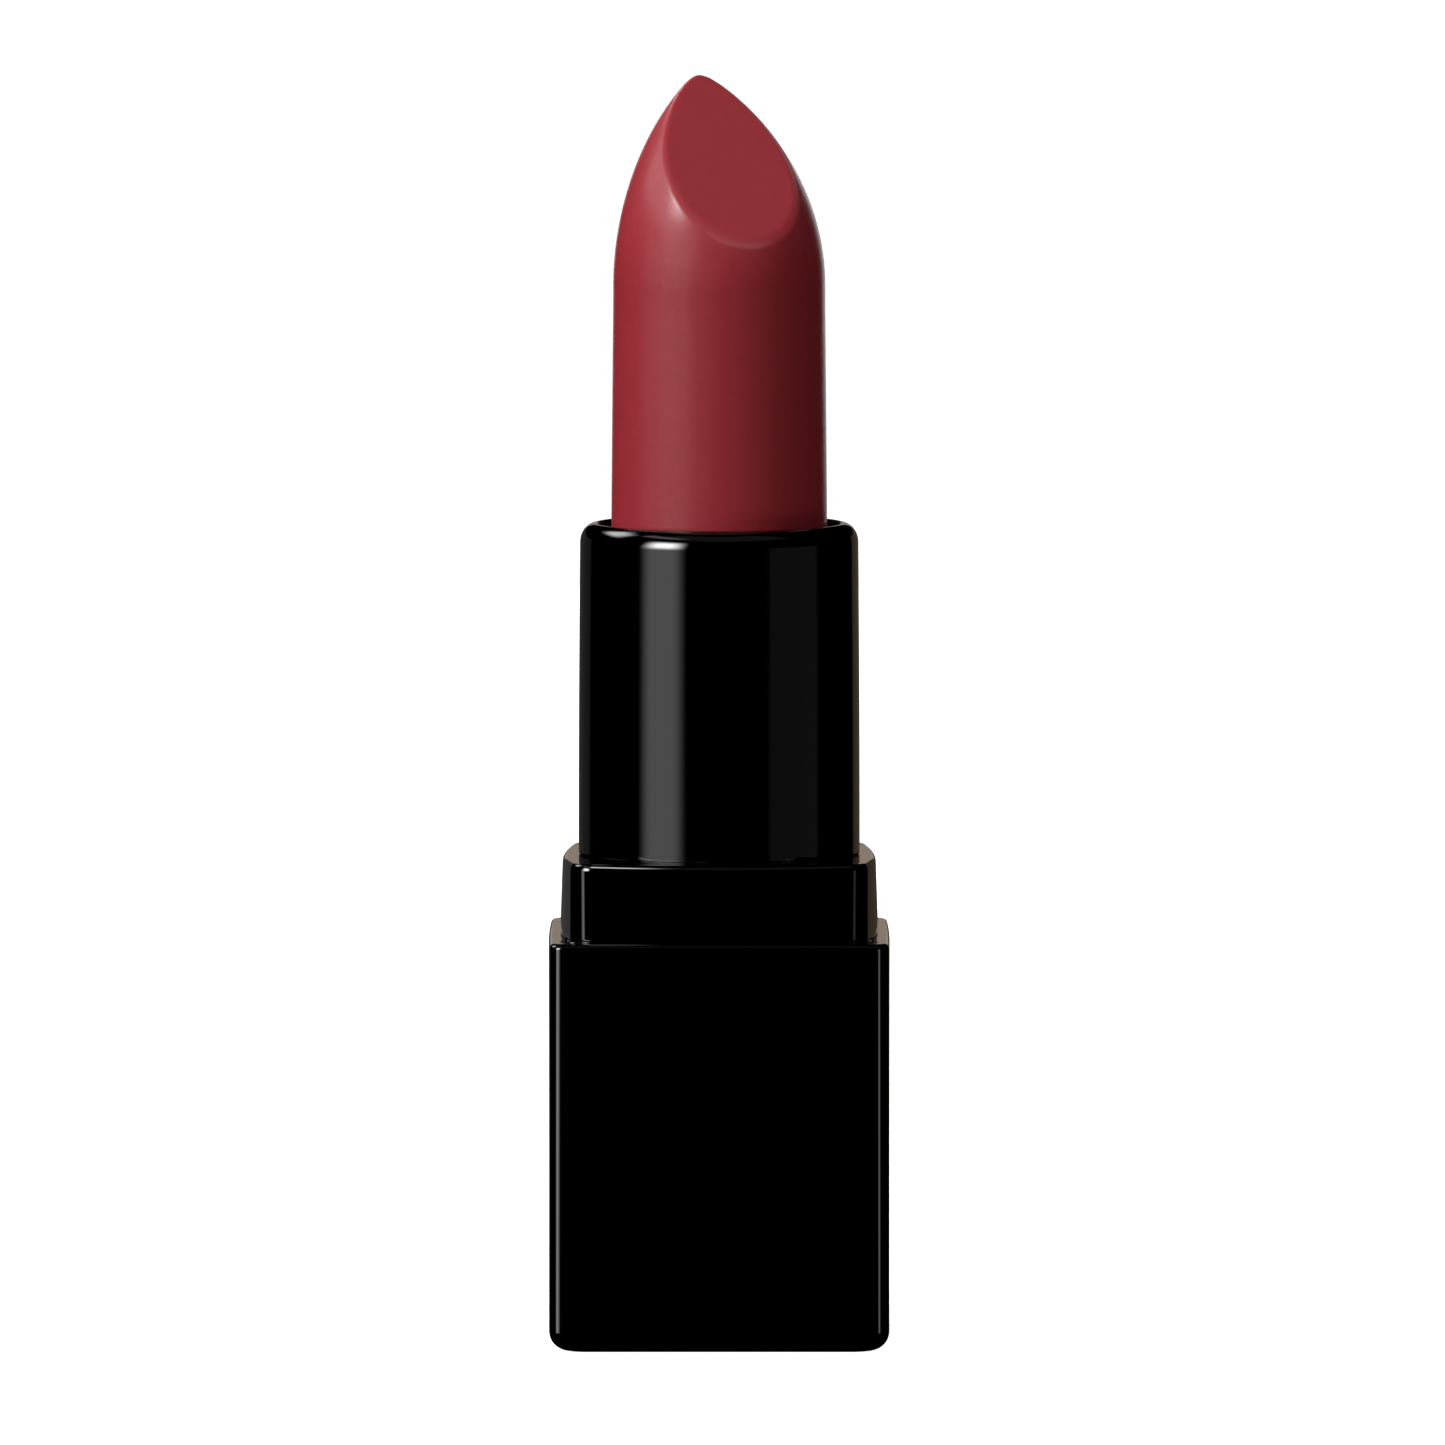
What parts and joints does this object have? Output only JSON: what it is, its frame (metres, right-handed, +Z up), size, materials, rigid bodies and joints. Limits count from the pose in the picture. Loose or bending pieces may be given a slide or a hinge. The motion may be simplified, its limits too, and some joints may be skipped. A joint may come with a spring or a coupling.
{
  "type": "lipstick case",
  "caption": "Square-based swivel lipstick, open and wound up: turning the round tube drives the bullet's cup up or down a spiral inside it.",
  "frame": {"origin": "centre of the base's underside, on the axis that the round tube turns about", "axes": "+Z up along the bullet; -Y is the front, which the bullet's slanted cut faces, turned a little to +X"},
  "size_m": [0.0192, 0.0192, 0.0713],
  "materials": {
    "gloss_black": "high-gloss moulded black with a polished surface",
    "wax": "satin rose-red wax, softly moulded, fine grain",
    "satin_black": "satin moulded black",
    "natural_plastic": "uncoloured moulded plastic",
    "weight_steel": "plain sheared steel block",
    "brake_rubber": "greased silicone rubber",
    "pad_foam": "dense foam",
    "label_film": "blank matt film label"
  },
  "bodies": {
    "base": {"base_shell": "gloss_black", "bottom_label": "label_film", "base_weight": "weight_steel", "weight_pad": "pad_foam", "base_liner": "natural_plastic", "collar": "gloss_black", "brake_ring": "brake_rubber", "slotted_tube": "satin_black"},
    "tube": {"round_tube": "gloss_black", "spiral_sleeve": "natural_plastic"},
    "cup": {"bullet_cup": "satin_black", "bullet": "wax"}
  },
  "joints": [
    {"name": "shell_twist", "type": "hinge", "parent": "base", "child": "tube", "pos_m": [0, 0, 0.0275], "axis": [0, 0, 1], "range_deg": [0, 648]},
    {"name": "bullet_lift", "type": "slide", "parent": "base", "child": "cup", "axis": [0, 0, 1], "range_m": [-0.027, 0]}
  ],
  "couplings": [
    {"joint": "shell_twist", "follows": "bullet_lift", "rad_per_m": -418.88}
  ]
}
